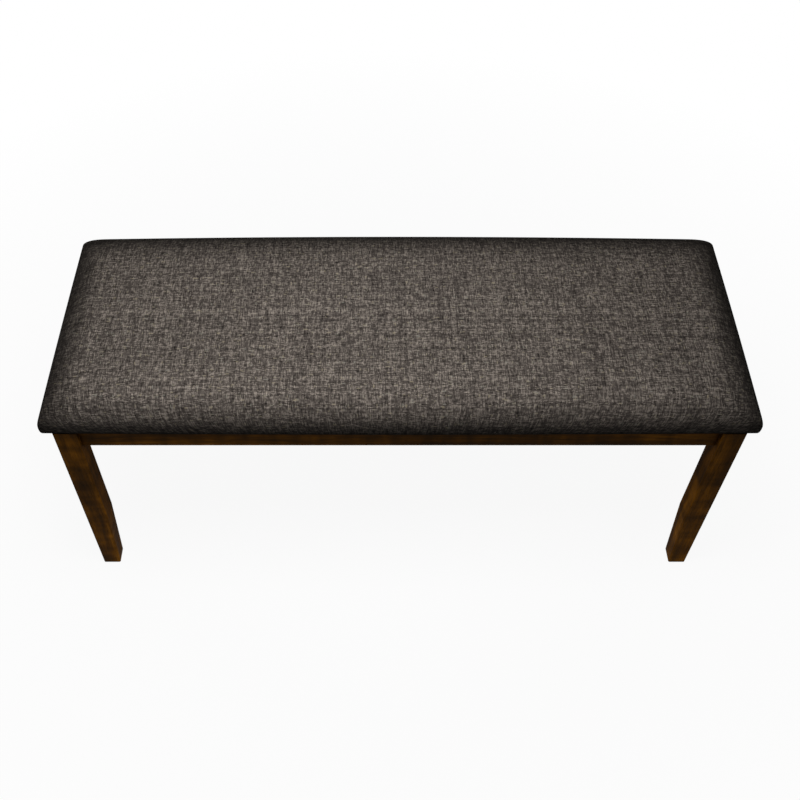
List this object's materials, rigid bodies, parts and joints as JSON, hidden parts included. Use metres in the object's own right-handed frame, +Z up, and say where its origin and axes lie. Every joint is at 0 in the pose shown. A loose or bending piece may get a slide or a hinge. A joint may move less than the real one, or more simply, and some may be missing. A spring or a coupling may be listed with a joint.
{
  "type": "upholstered bench",
  "caption": "Padded rectangular bench seat on a wooden frame with square tapered legs, for sitting at a table or in a hall.",
  "frame": {"origin": "on the floor, under the middle of the seat", "axes": "+X along the seat to the right as seen from the front, +Y to the rear, +Z up"},
  "size_m": [1.118, 0.418, 0.47],
  "materials": {
    "frame_wood": "dark walnut stain, satin lacquer",
    "inner_wood": "raw sawn hardwood",
    "dowel_wood": "raw beech",
    "plywood": "raw plywood",
    "seat_fabric": "heathered dark taupe linen-look weave",
    "foam": "open-cell seat foam",
    "fibre": "polyester wadding",
    "dust_cloth": "black spunbond cloth",
    "fastener_steel": "zinc plated",
    "glide_nylon": "dark nylon"
  },
  "bodies": {
    "root": {"leg_front_left": "frame_wood", "leg_front_right": "frame_wood", "leg_rear_left": "frame_wood", "leg_rear_right": "frame_wood", "apron_front": "frame_wood", "apron_rear": "frame_wood", "apron_left": "frame_wood", "apron_right": "frame_wood", "cross_rail_left": "inner_wood", "cross_rail_right": "inner_wood", "corner_block_front_left": "inner_wood", "corner_block_front_right": "inner_wood", "corner_block_rear_left": "inner_wood", "corner_block_rear_right": "inner_wood", "foot_glide_front_left": "glide_nylon", "foot_glide_front_right": "glide_nylon", "foot_glide_rear_left": "glide_nylon", "foot_glide_rear_right": "glide_nylon", "hanger_bolts": "fastener_steel", "hanger_washers": "fastener_steel", "hanger_nuts": "fastener_steel", "corner_block_screws": "fastener_steel", "seat_screws": "fastener_steel", "cover_staples": "fastener_steel", "dust_cover_staples": "fastener_steel", "apron_dowels": "dowel_wood", "seat_board": "plywood", "foam_pad": "foam", "wadding": "fibre", "seat_cover": "seat_fabric", "dust_cover": "dust_cloth"}
  },
  "joints": []
}
